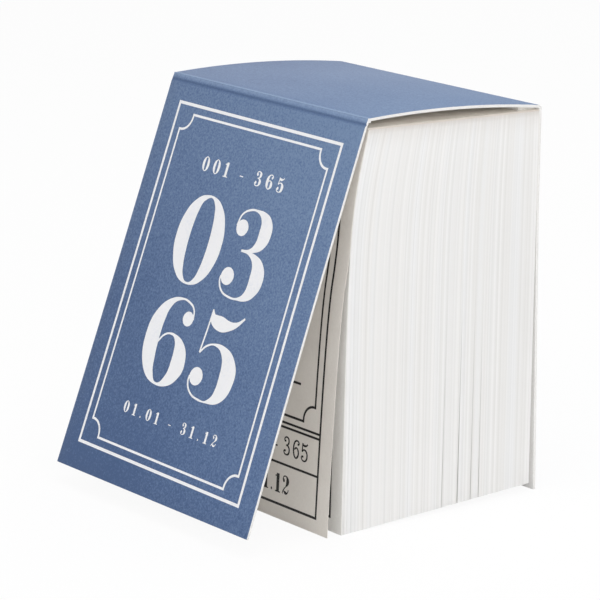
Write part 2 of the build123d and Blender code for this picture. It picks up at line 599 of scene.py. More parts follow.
@dataclass(frozen=True)
class StudioFloor:
    """A white floor that stays white on camera and keeps a soft shadow."""

    name: str = "studio_floor"
    paint: Colour = (0.97, 0.97, 0.97)
    glow: float = 0.92

    def build(self) -> bpy.types.Material:
        """Makes the material.

        Returns:
            The material.
        """
        graph = Graph.material(self.name)
        factor = graph.backdrop() * self.glow
        matt = graph.node("ShaderNodeBsdfDiffuse", {}, {"Color": (*self.paint, 1.0)})
        white = graph.node("ShaderNodeEmission", {}, {"Color": (1.0, 1.0, 1.0, 1.0), "Strength": 1.0})
        mixed = graph.node("ShaderNodeMixShader", {}, {0: factor, 1: matt, 2: white})
        graph.node("ShaderNodeOutputMaterial", {}, {"Surface": mixed})
        return graph.owner


class Weight(Enum):
    """How thin and how thick a numeral's strokes may be, as shares of its height, and their weight."""

    FAT = (0.012, 0.2, 0.9)
    TEXT = (0.034, 0.12, 1.0)
    LIGHT = (0.046, 0.058, 1.0)


BALL_STEPS = 8
RING_STEPS = 16


def ball(x: float, y: float, radius: float) -> tuple[Dot, ...]:
    """A round drop, as a short stroke.

    Args:
        x: Its middle's x.
        y: Its middle's y.
        radius: Its radius.

    Returns:
        The stroke's points: x, y and half width.
    """
    turns = [math.pi * step / BALL_STEPS for step in range(BALL_STEPS + 1)]
    return tuple((x - radius * math.cos(t), y, max(0.02 * radius, radius * math.sin(t))) for t in turns)


def ring(x: float, y: float, outer: tuple[float, float], inner: tuple[float, float]) -> tuple[Dot, ...]:
    """An upright ring with heavy sides and fine top and foot.

    Args:
        x: Its middle's x.
        y: Its middle's y.
        outer: Half width and half height outside.
        inner: Half width and half height inside.

    Returns:
        The stroke's points, once round from the top and a little over.
    """
    points = []
    for step in range(RING_STEPS + 2):
        turn = math.pi / 2 + 2 * math.pi * step / RING_STEPS
        sides = [(r[0] * math.cos(turn), r[1] * math.sin(turn)) for r in (outer, inner)]
        wide = (outer[0] + inner[0]) / 2
        tall = (outer[1] + inner[1]) / 2
        normal = Vector((math.cos(turn) / wide, math.sin(turn) / tall)).normalized()
        half = 0.5 * normal.dot(Vector(sides[0]) - Vector(sides[1]))
        points.append((x + wide * math.cos(turn), y + tall * math.sin(turn), abs(half)))
    return tuple(points)


NUMERALS: dict[str, tuple[float, tuple[tuple[Dot, ...], ...]]] = {
    "0": (0.86, (ring(0.43, 0.5, (0.42, 0.5), (0.16, 0.475)),)),
    "1": (
        0.66,
        (
            ((0.35, 0.0, 0.135), (0.35, 0.35, 0.13), (0.35, 0.7, 0.13), (0.35, 0.995, 0.135)),
            ((0.05, 0.84, 0.013), (0.16, 0.855, 0.018), (0.26, 0.91, 0.03), (0.34, 0.97, 0.02)),
            ((0.06, 0.012, 0.012), (0.35, 0.012, 0.012), (0.64, 0.012, 0.012)),
        ),
    ),
    "2": (
        0.8,
        (
            ball(0.18, 0.735, 0.105),
            (
                (0.078, 0.75, 0.012),
                (0.11, 0.88, 0.013),
                (0.23, 0.968, 0.014),
                (0.38, 0.982, 0.017),
                (0.545, 0.9, 0.075),
                (0.615, 0.745, 0.135),
                (0.565, 0.585, 0.1),
                (0.43, 0.43, 0.032),
                (0.26, 0.3, 0.014),
                (0.12, 0.15, 0.013),
                (0.06, 0.01, 0.012),
            ),
            (
                (0.12, 0.15, 0.013),
                (0.23, 0.155, 0.03),
                (0.36, 0.1, 0.085),
                (0.5, 0.075, 0.07),
                (0.63, 0.12, 0.03),
                (0.7, 0.21, 0.014),
                (0.725, 0.29, 0.012),
            ),
        ),
    ),
    "3": (
        0.84,
        (
            ball(0.2, 0.765, 0.1),
            (
                (0.103, 0.775, 0.012),
                (0.14, 0.9, 0.013),
                (0.26, 0.972, 0.014),
                (0.39, 0.98, 0.018),
                (0.5, 0.945, 0.055),
                (0.575, 0.87, 0.1),
                (0.597, 0.77, 0.112),
                (0.572, 0.67, 0.096),
                (0.5, 0.59, 0.052),
                (0.42, 0.548, 0.022),
                (0.29, 0.53, 0.013),
            ),
            (
                (0.29, 0.53, 0.013),
                (0.44, 0.52, 0.022),
                (0.56, 0.47, 0.062),
                (0.637, 0.385, 0.11),
                (0.664, 0.28, 0.126),
                (0.637, 0.165, 0.106),
                (0.56, 0.07, 0.058),
                (0.45, 0.024, 0.018),
                (0.3, 0.016, 0.013),
                (0.15, 0.06, 0.013),
                (0.078, 0.16, 0.012),
                (0.078, 0.215, 0.012),
            ),
            ball(0.185, 0.225, 0.108),
        ),
    ),
    "5": (
        0.84,
        (
            (
                (0.155, 0.97, 0.013),
                (0.19, 0.9, 0.06),
                (0.33, 0.86, 0.09),
                (0.48, 0.865, 0.06),
                (0.6, 0.91, 0.03),
                (0.7, 0.995, 0.012),
            ),
            ((0.155, 0.985, 0.013), (0.14, 0.74, 0.013), (0.12, 0.5, 0.013)),
            (
                (0.12, 0.5, 0.012),
                (0.21, 0.59, 0.013),
                (0.35, 0.632, 0.016),
                (0.52, 0.59, 0.06),
                (0.645, 0.46, 0.125),
                (0.675, 0.32, 0.14),
                (0.615, 0.13, 0.1),
                (0.46, 0.026, 0.02),
                (0.31, 0.016, 0.013),
                (0.15, 0.06, 0.013),
                (0.07, 0.16, 0.012),
                (0.07, 0.235, 0.012),
            ),
            ball(0.178, 0.245, 0.11),
        ),
    ),
    "6": (
        0.86,
        (
            ball(0.665, 0.795, 0.09),
            (
                (0.753, 0.8, 0.012),
                (0.72, 0.91, 0.013),
                (0.61, 0.972, 0.014),
                (0.47, 0.982, 0.016),
                (0.31, 0.91, 0.05),
                (0.19, 0.73, 0.11),
                (0.155, 0.5, 0.135),
                (0.2, 0.24, 0.115),
                (0.31, 0.075, 0.055),
                (0.44, 0.016, 0.015),
                (0.585, 0.075, 0.065),
                (0.685, 0.205, 0.12),
                (0.705, 0.315, 0.132),
                (0.66, 0.46, 0.1),
                (0.56, 0.56, 0.035),
                (0.46, 0.585, 0.014),
                (0.35, 0.55, 0.013),
                (0.27, 0.46, 0.013),
            ),
        ),
    ),
    ".": (0.34, (ball(0.17, 0.07, 0.08),)),
    "-": (0.6, (((0.08, 0.34, 0.035), (0.3, 0.34, 0.035), (0.52, 0.34, 0.035)),)),
    " ": (0.3, ()),
}


@dataclass
class Print:
    """Rules and numerals that are printed on one sheet.

    Places are across from the sheet's middle and down from its top edge, in metres. The tick is a
    share of a notch, the gap a share of a numeral's height, and the relief a share of a line's half width.
    """

    name: str
    lift: float = 0.012 * MM
    relief: float = 0.006
    step: float = 0.8 * MM
    arc_steps: int = 10
    tick: float = 0.12
    gap: float = 0.03
    weld: float = 0.0005 * MM
    strokes: list[tuple[list[Dot], bool]] = field(default_factory=list)

    def rule(self, start: tuple[float, float], end: tuple[float, float], thick: float) -> None:
        """Adds a straight line.

        Args:
            start: Where it starts.
            end: Where it ends.
            thick: Its thickness.
        """
        count = max(1, math.ceil(math.dist(start, end) / self.step))
        shares = [index / count for index in range(count + 1)]
        right, fall = end[0] - start[0], end[1] - start[1]
        points = [(start[0] + right * s, -start[1] - fall * s, thick / 2) for s in shares]
        self.strokes.append((points, False))

    def arc(
        self, middle: tuple[float, float], radius: float, turns: tuple[float, float], thick: float
    ) -> None:
        """Adds a part of a circle.

        Args:
            middle: The circle's middle.
            radius: Its radius.
            turns: First and last angle in degrees, from the right and up.
            thick: The line's thickness.
        """
        points = []
        for index in range(self.arc_steps + 1):
            angle = math.radians(turns[0] + (turns[1] - turns[0]) * index / self.arc_steps)
            spot = (middle[0] + radius * math.cos(angle), -middle[1] + radius * math.sin(angle))
            points.append((*spot, thick / 2))
        self.strokes.append((points, False))

    def frame(self, half: float, top: float, foot: float, thick: float) -> None:
        """Adds a plain rectangle.

        Args:
            half: Half its width.
            top: Its upper side.
            foot: Its lower side.
            thick: The line's thickness.
        """
        over = half + thick / 2
        self.rule((-over, top), (over, top), thick)
        self.rule((-over, foot), (over, foot), thick)
        for side in (-half, half):
            self.rule((side, top), (side, foot), thick)

    def notched_frame(self, half: float, top: float, foot: float, notch: float, thick: float) -> None:
        """Adds a rectangle whose corners are cut away in quarter circles.

        Args:
            half: Half its width.
            top: Its upper side.
            foot: Its lower side.
            notch: The quarter circles' radius.
            thick: The line's thickness.
        """
        tick = self.tick * notch
        far = notch + tick
        self.rule((-half + far, top), (half - far, top), thick)
        self.rule((-half + far, foot), (half - far, foot), thick)
        for side in (-1, 1):
            self.rule((side * half, top + far), (side * half, foot - far), thick)
            for edge, way in ((top, 1), (foot, -1)):
                corner = (side * (half - tick), edge + way * tick)
                first = 180.0 if side > 0 else 270.0
                if way < 0:
                    first = 90.0 if side > 0 else 0.0
                self.arc(corner, notch, (first, first + 90.0), thick)
                bend = thick / 2
                upright, level = corner[0] - side * notch, corner[1] + way * notch
                self.rule((upright, edge - way * bend), (upright, corner[1]), thick)
                self.rule((corner[0], level), (side * (half + bend), level), thick)

    def numerals(
        self,
        text: str,
        middle: tuple[float, float],
        height: float,
        weight: Weight,
        squeeze: float = 1.0,
        span: Optional[float] = None,
    ) -> None:
        """Adds a row of plain numerals.

        Args:
            text: Digits, points, dashes and spaces.
            middle: The row's middle.
            height: The digits' height.
            weight: How heavy they are.
            squeeze: Their width, as a share of the drawn one.
            span: The row's width, where it is spaced out to one.
        """
        advances = [NUMERALS[sign][0] * height * squeeze for sign in text]
        gap = self.gap * height
        if span is not None and len(text) > 1:
            gap = (span - sum(advances)) / (len(text) - 1)
        left = middle[0] - (sum(advances) + gap * (len(text) - 1)) / 2
        base = -middle[1] - height / 2
        low, high, share = weight.value
        for sign, advance in zip(text, advances):
            for drawn in NUMERALS[sign][1]:
                points = []
                for x, y, half in drawn:
                    held = min(high, max(low, share * half))
                    points.append((left + x * height * squeeze, base + y * height, held * height))
                self.strokes.append((points, True))
            left += advance + gap

    def build(self, place: Place, ink: bpy.types.Material) -> bpy.types.Object:
        """Turns the strokes into one thin mesh on the sheet.

        Args:
            place: Gives the point at a place across, a place down and a height above the sheet.
            ink: Its material.

        Returns:
            The print's object.
        """
        curve = bpy.data.curves.new(self.name, "CURVE")
        curve.dimensions = "3D"
        curve.twist_mode = "Z_UP"
        curve.bevel_depth = 1.0
        curve.bevel_resolution = 2
        curve.use_fill_caps = True
        curve.resolution_u = 6
        for points, smooth in self.strokes:
            spline = curve.splines.new("BEZIER" if smooth else "POLY")
            spline.radius_interpolation = "CARDINAL" if smooth else "LINEAR"
            slots = spline.bezier_points if smooth else spline.points
            slots.add(len(points) - 1)
            for slot, (x, y, half) in zip(slots, points):
                slot.co = (x, y, 0.0) if smooth else (x, y, 0.0, 1.0)
                slot.radius = half
                if smooth:
                    slot.handle_left_type = "AUTO"
                    slot.handle_right_type = "AUTO"
        bench = Bench()
        bench.link(bpy.data.objects.new(self.name, curve))
        bpy.ops.object.convert(target="MESH")
        piece = bpy.context.view_layer.objects.active
        bench.edit(piece, bpy.ops.mesh.remove_doubles, threshold=self.weld)
        bench.edit(piece, bpy.ops.mesh.normals_make_consistent, inside=False)
        for vertex in piece.data.vertices:
            x, y, z = vertex.co
            vertex.co = place(x, -y, self.lift + self.relief * z)
        bpy.ops.object.shade_flat()
        return bench.dress(piece, ink)


class Bench:
    """Modelling steps that several pieces share."""

    @staticmethod
    def clear_selection() -> None:
        """Leaves edit mode and deselects everything."""
        if bpy.context.object is not None and bpy.context.object.mode != "OBJECT":
            bpy.ops.object.mode_set(mode="OBJECT")
        bpy.ops.object.select_all(action="DESELECT")

    def link(self, piece: bpy.types.Object) -> None:
        """Puts an object in the scene and makes it the active one.

        Args:
            piece: The object.
        """
        self.clear_selection()
        if piece.name not in bpy.context.scene.collection.objects:
            bpy.context.scene.collection.objects.link(piece)
        piece.select_set(True)
        bpy.context.view_layer.objects.active = piece

    def edit(self, piece: bpy.types.Object, operate: Callable[..., Any], **settings: Any) -> None:
        """Runs an operator on a whole mesh in edit mode.

        Args:
            piece: The mesh's object.
            operate: The operator.
            settings: What it is told.
        """
        self.link(piece)
        bpy.ops.object.mode_set(mode="EDIT")
        bpy.ops.mesh.select_all(action="SELECT")
        operate(**settings)
        bpy.ops.object.mode_set(mode="OBJECT")

    @staticmethod
    def deselect_mesh(piece: bpy.types.Object) -> None:
        """Deselects a mesh's vertices, edges and faces."""
        for part in (piece.data.vertices, piece.data.edges, piece.data.polygons):
            part.foreach_set("select", [False] * len(part))

    def sweep(self, name: str, width: float, path: list[tuple[float, float]]) -> bpy.types.Object:
        """Extrudes a straight edge along a path.

        Args:
            name: The piece's name.
            width: The edge's length, across the middle.
            path: Points (y, z), in order.

        Returns:
            An open sheet of faces.
        """
        self.clear_selection()
        (y0, z0), (y1, z1) = path[0], path[1]
        turn = math.atan2(z1 - z0, y1 - y0)
        middle = (0.0, (y0 + y1) / 2, (z0 + z1) / 2)
        length = math.dist(path[0], path[1])
        bpy.ops.mesh.primitive_plane_add(size=1.0, location=middle, rotation=(turn, 0.0, 0.0))
        piece = bpy.context.view_layer.objects.active
        piece.name = piece.data.name = name
        piece.scale = (width, length, 1.0)
        bpy.ops.object.transform_apply(location=True, rotation=True, scale=True)
        self.deselect_mesh(piece)
        for edge in piece.data.edges:
            spots = [piece.data.vertices[index].co for index in edge.vertices]
            edge.select = all(math.dist(spot.yz, path[1]) < SAME_PLACE for spot in spots)
            for index in edge.vertices:
                piece.data.vertices[index].select |= edge.select
        bpy.ops.object.mode_set(mode="EDIT")
        bpy.ops.mesh.select_mode(type="EDGE")
        for (ya, za), (yb, zb) in zip(path[1:], path[2:]):
            bpy.ops.mesh.extrude_region_move(TRANSFORM_OT_translate={"value": (0.0, yb - ya, zb - za)})
        bpy.ops.object.mode_set(mode="OBJECT")
        return piece

    def face(self, piece: bpy.types.Object, way: Callable[[Vector], Vector]) -> None:
        """Turns an open sheet so that its faces look the given way.

        Args:
            piece: The sheet.
            way: Gives the outward direction at a point.
        """
        total = sum(way(p.center).dot(p.normal) * p.area for p in piece.data.polygons)
        if total < 0:
            self.edit(piece, bpy.ops.mesh.flip_normals)

    def ease(self, piece: bpy.types.Object, rounding: float, corner: float) -> None:
        """Rounds a mesh's sharp edges.

        Args:
            piece: The mesh's object.
            rounding: Width of the eased edges.
            corner: Least angle of an edge that is eased, in degrees.
        """
        self.link(piece)
        ease = piece.modifiers.new("eased_edges", "BEVEL")
        ease.width = rounding
        ease.segments = 2
        ease.limit_method = "ANGLE"
        ease.angle_limit = math.radians(corner)
        bpy.ops.object.modifier_apply(modifier=ease.name)

    def thicken(self, piece: bpy.types.Object, thickness: float, rounding: float) -> None:
        """Gives a sheet its thickness, behind its faces, and eases its edges.

        Args:
            piece: The sheet, with slots for its face, its back and its cut edges.
            thickness: The sheet's thickness.
            rounding: Width of the eased edges.
        """
        self.link(piece)
        solid = piece.modifiers.new("thickness", "SOLIDIFY")
        solid.thickness = thickness
        solid.offset = -1.0
        solid.use_even_offset = True
        solid.material_offset = 1
        solid.material_offset_rim = 2
        bpy.ops.object.modifier_apply(modifier=solid.name)
        if rounding > 0:
            self.ease(piece, rounding, 50.0)
        bpy.ops.object.shade_smooth_by_angle(angle=SHEET_CREASE)

    @staticmethod
    def dress(piece: bpy.types.Object, *finishes: bpy.types.Material) -> bpy.types.Object:
        """Gives a piece its materials.

        Args:
            piece: The piece.
            finishes: One material per slot.

        Returns:
            The piece.
        """
        piece.data.materials.clear()
        for finish in finishes:
            piece.data.materials.append(finish)
        return piece


@dataclass
class CardCover:
    """The creased card cover: a front panel that turns, and the card over the head and down the back."""

    fold: tuple[float, float]
    rear: tuple[float, float]
    width: float
    card: float = 0.5 * MM
    front_card: float = 0.46 * MM
    bevel: float = 1.15 * MM
    bevel_open: float = 29.0
    panel_open: float = 20.3
    overhang: float = 1.15 * MM
    crease_gap: float = 0.05 * MM
    warp: float = -0.6 * MM
    arch: float = 0.88 * MM
    arch_steps: int = 20
    panel_rows: int = 12
    rear_radius: float = 0.63 * MM
    rear_clear: float = 0.756 * MM
    rear_steps: int = 6
    flare: float = 1.05 * MM
    flare_height: float = 50.0 * MM
    back_levels: tuple[float, ...] = tuple(level * MM for level in (60, 54, 50, 46, 40, 30, 20, 10, 0))
    rounding: float = 0.06 * MM
    roll_half_width: float = 0.25 * MM
    roll_half_depth: float = 0.45 * MM
    roll_proud: float = 0.03 * MM
    roll_sides: int = 28
    roll_end: tuple[float, float] = (0.03 * MM, -0.01 * MM)
    end_reach: float = 0.2 * MM
    groove: float = 0.2 * MM
    groove_width: float = 0.2 * MM
    groove_rows: int = 5
    groove_left: float = 0.25
    groove_run: float = 3.2 * MM
    print_skew: float = 0.0076

    @property
    def panel(self) -> float:
        """Length of the front panel below its lower score line."""
        return self.fold[1] + self.overhang - self.bevel

    @property
    def crest(self) -> Vector:
        """The front fold, in the middle."""
        return Vector((0.0, *self.fold))

    @staticmethod
    def down(lean: float) -> Vector:
        """Direction down a panel that leans forward."""
        return Vector((0.0, -math.sin(math.radians(lean)), -math.cos(math.radians(lean))))

    @staticmethod
    def out(lean: float) -> Vector:
        """Direction out of such a panel's front."""
        return Vector((0.0, -math.cos(math.radians(lean)), math.sin(math.radians(lean))))

    def score(self) -> Vector:
        """The lower score line, where the bevel meets the panel."""
        return self.crest + self.down(self.bevel_open) * self.bevel

    def on_panel(self, across: float, drop: float, height: float) -> Vector:
        """A point on the front panel, which is slightly warped.

        Args:
            across: Distance from the middle, to the right.
            drop: Distance below the lower score line.
            height: Distance in front of the printed face.

        Returns:
            The point.
        """
        bent = self.warp * max(0.0, drop / self.panel) ** 2 * across / (self.width / 2)
        point = self.score() + self.down(self.panel_open) * drop
        return point + self.out(self.panel_open) * (height + bent) + Vector((across, 0.0, 0.0))

    def on_print(self, across: float, drop: float, height: float) -> Vector:
        """A point of the print, which is slightly out of square with the crease."""
        return self.on_panel(across, drop + self.print_skew * across, height)

    def front(self, bench: Bench, finishes: list[bpy.types.Material]) -> bpy.types.Object:
        """Makes the front panel with its bevelled strip.

        Args:
            bench: The modelling steps.
            finishes: Printed face, inside, cut edges.

        Returns:
            The panel.
        """
        strip = self.down(self.bevel_open)
        steps = [index * self.groove_width / 2 for index in range(self.groove_rows + 1)]
        path = [self.crest + strip * self.crease_gap]
        path += [self.score() - strip * step for step in reversed(steps)]
        rows = range(1, self.panel_rows + 1)
        drops = steps[1:] + [self.panel * row / self.panel_rows for row in rows]
        path += [self.on_panel(0.0, drop, 0.0) for drop in drops]
        piece = bench.sweep("front_cover_card", self.width, [(p.y, p.z) for p in path])
        runs_out = (self.groove_run - self.width / 2, 0.0, 0.0)
        bench.edit(piece, bpy.ops.mesh.bisect, plane_co=runs_out, plane_no=(1.0, 0.0, 0.0))
        for vertex in piece.data.vertices:
            drop = (vertex.co - self.score()).dot(self.down(self.panel_open))
            if drop > 0.0:
                vertex.co = self.on_panel(vertex.co.x, drop, 0.0)
        bench.face(piece, lambda _: self.out(self.panel_open))
        bench.dress(piece, *finishes)
        bench.thicken(piece, self.front_card, self.rounding)
        self.press_score(piece)
        self.mitre(piece, strip)
        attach(piece, "front_cover")
        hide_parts("front_cover")
        return piece

    def press_score(self, piece: bpy.types.Object) -> None:
        """Presses the lower score line into the printed face; it runs out towards the left end.

        Args:
            piece: The front panel.
        """
        left = self.rounding - self.width / 2
        for vertex in piece.data.vertices:
            below = vertex.co - self.score()
            lean = self.panel_open if below.dot(self.down(self.panel_open)) > 0.0 else self.bevel_open
            along, depth = below.dot(self.down(lean)), -below.dot(self.out(lean))
            if depth < self.front_card / 3:
                share = self.groove_left if vertex.co.x <= left else 1.0
                pressed = share * self.groove * math.exp(-((along / self.groove_width) ** 2))
                vertex.co -= self.out(lean) * pressed

    def heading(self) -> Vector:
        """Direction from the front fold along the spine."""
        first, second = self.arch_points()[:2]
        return Vector((0.0, second[0] - first[0], second[1] - first[1])).normalized()

    def bisector(self) -> Vector:
        """Direction into the front fold, midway between the spine and the bevelled strip."""
        return (self.heading() + self.down(self.bevel_open)).normalized()

    def mitre(self, piece: bpy.types.Object, along: Vector) -> None:
        """Slants a card's end at the front fold, so that it clears the card on the other side.

        Args:
            piece: The card.
            along: Direction from the fold along the card.
        """
        middle = self.bisector()
        inward = (middle - along * middle.dot(along)).normalized()
        slope = middle.dot(along) / middle.dot(inward)
        for vertex in piece.data.vertices:
            away = vertex.co - self.crest
            if away.dot(along) < self.end_reach:
                vertex.co += along * slope * away.dot(inward)

    def rise(self, share: float) -> float:
        """How far the arched spine stands above its chord, at a share of its depth."""
        return self.arch * (1 - (2 * share - 1) ** 2)

    def arch_points(self) -> list[tuple[float, float]]:
        """Points along the arched spine, from the front fold to the rear fold.

        Returns:
            The points (y, z).
        """
        first, last = Vector(self.fold), Vector(self.rear)
        chord = last - first
        up = Vector((-chord.y, chord.x)).normalized()
        points = []
        for index in range(self.arch_steps + 1):
            share = index / self.arch_steps
            points.append(tuple(first + chord * share + up * self.rise(share)))
        return points

    def roof(self, depth: float) -> float:
        """Height of the spine's underside.

        Args:
            depth: Where, along y.

        Returns:
            The height.
        """
        first, last = self.fold, self.rear
        share = (depth - first[0]) / (last[0] - first[0])
        return first[1] + (last[1] - first[1]) * share + self.rise(share) - self.card

    def rear_card(self, bench: Bench, finishes: list[bpy.types.Material]) -> bpy.types.Object:
        """Makes the spine and the back panel as the one bent card that they are.

        Args:
            bench: The modelling steps.
            finishes: Printed face, inside, cut edges.

        Returns:
            The card.
        """
        spine = [Vector(point) for point in self.arch_points()]
        spine[0] = spine[0] + self.heading().yz * self.crease_gap
        corner = Vector(self.rear)
        heading = (spine[-1] - spine[-2]).normalized()
        inward = Vector((heading.y, -heading.x))
        turn = math.acos(-heading.y)
        centre = corner - heading * (self.rear_radius * math.tan(turn / 2)) + inward * self.rear_radius
        path = [tuple(p) for p in spine[:-1] if (p - corner).length > self.rear_clear]
        for index in range(self.rear_steps + 1):
            angle = turn * index / self.rear_steps
            spoke = heading * math.sin(angle) - inward * math.cos(angle)
            path.append(tuple(centre + spoke * self.rear_radius))
        for level in self.back_levels:
            below = max(0.0, self.flare_height - level)
            path.append((corner.x + self.flare * below / self.flare_height, level))
        piece = bench.sweep("spine_and_back_card", self.width, path)
        middle = Vector((0.0, (self.fold[0] + self.rear[0]) / 2, self.rear[1] / 2))
        bench.face(piece, lambda point: point - middle)
        bench.dress(piece, *finishes)
        bench.thicken(piece, self.card, self.rounding)
        self.mitre(piece, self.heading())
        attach(piece, "block")
        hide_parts("spine_panel", "back_cover")
        return piece

    def crease(self, bench: Bench, finish: bpy.types.Material, core: bpy.types.Material) -> bpy.types.Object:
        """Makes the crushed roll of card in the front fold, between the spine and the turning panel.

        Args:
            bench: The modelling steps.
            finish: Printed face.
            core: Cut ends.

        Returns:
            The fold.
        """
        bench.clear_selection()
        inward = self.bisector()
        middle = self.crest + inward * (self.roll_half_depth - self.roll_proud)
        bpy.ops.mesh.primitive_cylinder_add(
            vertices=self.roll_sides,
            radius=self.roll_half_width,
            depth=self.width - self.rounding / 2,
            end_fill_type="NGON",
            location=middle,
            rotation=(0.0, math.radians(90), 0.0),
        )
        piece = bpy.context.view_layer.objects.active
        piece.name = piece.data.name = "front_fold_card"
        bpy.ops.object.transform_apply(location=True, rotation=True, scale=True)
        stretch = self.roll_half_depth / self.roll_half_width - 1.0
        for vertex in piece.data.vertices:
            vertex.co += inward * stretch * (vertex.co - middle).dot(inward)
        bench.dress(piece, finish, core)
        bench.deselect_mesh(piece)
        for polygon in piece.data.polygons:
            if abs(polygon.normal.x) > 0.9:
                polygon.select = True
                polygon.material_index = 1
        rim, recess = self.roll_end
        bpy.ops.object.mode_set(mode="EDIT")
        bpy.ops.mesh.select_mode(type="FACE")
        bpy.ops.mesh.inset(thickness=rim, depth=recess, use_individual=True)
        bpy.ops.object.mode_set(mode="OBJECT")
        bpy.ops.object.shade_smooth_by_angle(angle=SOLID_CREASE)
        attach(piece, "block")
        return piece

    def printing(self, ink: bpy.types.Material) -> bpy.types.Object:
        """Makes the cover's print: a double border with notched corners, and plain numerals.

        Args:
            ink: The white ink.

        Returns:
            The print.
        """
        sheet = Print("front_cover_print")
        sheet.frame(22.34 * MM, 3.76 * MM, 64.82 * MM, 0.54 * MM)
        sheet.notched_frame(20.48 * MM, 5.39 * MM, 63.17 * MM, 2.55 * MM, 0.41 * MM)
        sheet.numerals("001 - 365", (-0.2 * MM, 12.85 * MM), 2.5 * MM, Weight.TEXT, 0.85, 22.5 * MM)
        sheet.numerals("03", (0.2 * MM, 25.55 * MM), 15.6 * MM, Weight.FAT)
        sheet.numerals("65", (-0.2 * MM, 43.4 * MM), 15.6 * MM, Weight.FAT)
        sheet.numerals("01.01 - 31.12", (-0.2 * MM, 56.35 * MM), 2.0 * MM, Weight.TEXT, 0.8, 26.0 * MM)
        piece = sheet.build(self.on_print, ink)
        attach(piece, "front_cover")
        return piece


